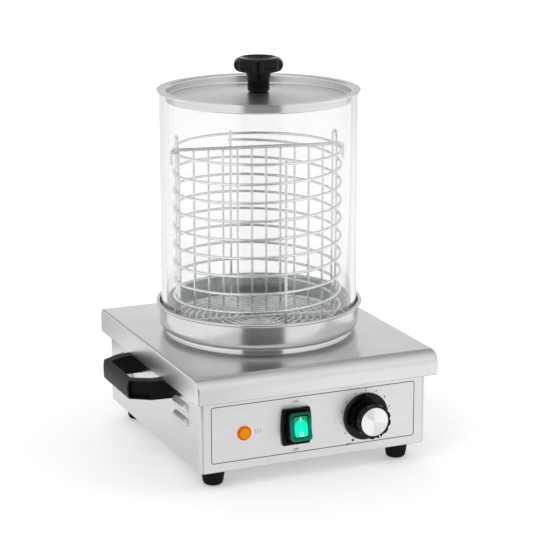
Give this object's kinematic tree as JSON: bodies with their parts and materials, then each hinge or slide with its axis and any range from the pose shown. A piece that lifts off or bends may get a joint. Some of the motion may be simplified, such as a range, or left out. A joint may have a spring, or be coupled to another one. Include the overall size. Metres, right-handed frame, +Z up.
{
  "type": "hot dog steamer",
  "caption": "Counter-top hot dog steamer: square heated base with rocker switch and heat dial, water tray, glass cylinder, coiled wire basket with divider, and knobbed lid.",
  "frame": {"origin": "middle of the footprint's bounding box, on the surface that the feet stand on", "axes": "+X to the right as seen from the front, -Y out of the control panel, +Z up"},
  "size_m": [0.322, 0.293, 0.3956],
  "materials": {
    "brushed_sheet": "fine lengthwise brushing, satin",
    "drawn_steel": "spun and polished, faint rings",
    "bright_wire": "electropolished round wire",
    "zinc_plate": "plain galvanised sheet",
    "screw_zinc": "plated",
    "heater_steel": "dark annealed tube",
    "contact_brass": "plain",
    "cap_aluminium": "spun satin face",
    "clear_glass": "clear, polished edges",
    "foot_rubber": "matt moulded rubber",
    "black_plastic": "fine moulded texture",
    "knob_plastic": "glossy moulded phenolic",
    "control_plastic": "ceramic-coloured moulding",
    "white_plastic": "moulded insert",
    "lamp_orange": "translucent, ribbed inside",
    "switch_teal": "translucent tinted frame",
    "switch_lens": "translucent, lit from behind"
  },
  "bodies": {
    "base": {"housing": "brushed_sheet", "top_cover": "brushed_sheet", "front_panel": "brushed_sheet", "bottom_plate": "zinc_plate", "rubber_feet": "foot_rubber", "foot_screws": "screw_zinc", "foot_nuts": "screw_zinc", "right_handle": "black_plastic", "left_handle": "black_plastic", "handle_screws": "screw_zinc", "lamp_lens": "lamp_orange", "lamp_body": "black_plastic", "lamp_lock_ring": "black_plastic", "switch_frame": "black_plastic", "switch_blades": "contact_brass", "heat_control": "control_plastic", "heat_control_screws": "screw_zinc", "heat_control_blades": "contact_brass", "cable_gland": "black_plastic", "gland_nut": "black_plastic", "terminal_block": "control_plastic", "water_tray": "drawn_steel", "tray_seat_ring": "drawn_steel", "heater_ring": "heater_steel", "heater_clamp": "zinc_plate", "heater_studs": "screw_zinc", "heater_nuts": "screw_zinc", "thermal_cutout": "control_plastic"},
    "glass": {"glass_cylinder": "clear_glass"},
    "basket": {"basket_coil": "bright_wire", "basket_floor": "bright_wire", "basket_ring": "bright_wire", "basket_hoop": "bright_wire", "basket_cross": "bright_wire"},
    "divider": {"divider_bar": "bright_wire", "divider_wires": "bright_wire", "divider_foot": "bright_wire"},
    "lid": {"lid_dish": "drawn_steel", "lid_knob": "knob_plastic", "lid_washer": "screw_zinc", "lid_screw": "screw_zinc"},
    "dial": {"dial_knob": "knob_plastic", "dial_cap": "cap_aluminium", "dial_pointer": "white_plastic", "dial_spindle": "screw_zinc"},
    "rocker": {"rocker_body": "black_plastic", "rocker_frame": "switch_teal", "rocker_lens": "switch_lens"}
  },
  "joints": [
    {"name": "glass_lift", "type": "slide", "parent": "base", "child": "glass", "axis": [0, 0, 1], "range_m": [0, 0.12]},
    {"name": "basket_lift", "type": "slide", "parent": "glass", "child": "basket", "axis": [0, 0, 1], "range_m": [0, 0.25]},
    {"name": "divider_lift", "type": "slide", "parent": "basket", "child": "divider", "axis": [0, 0, 1], "range_m": [0, 0.2]},
    {"name": "lid_lift", "type": "slide", "parent": "divider", "child": "lid", "axis": [0, 0, 1], "range_m": [0, 0.12]},
    {"name": "dial_turn", "type": "hinge", "parent": "base", "child": "dial", "pos_m": [0.0545, -0.1255, 0.0548], "axis": [0, -1, 0], "range_deg": [0, 310]},
    {"name": "rocker_tilt", "type": "hinge", "parent": "base", "child": "rocker", "pos_m": [-0.021, -0.1245, 0.0548], "axis": [1, 0, 0], "range_deg": [0, 24]}
  ]
}
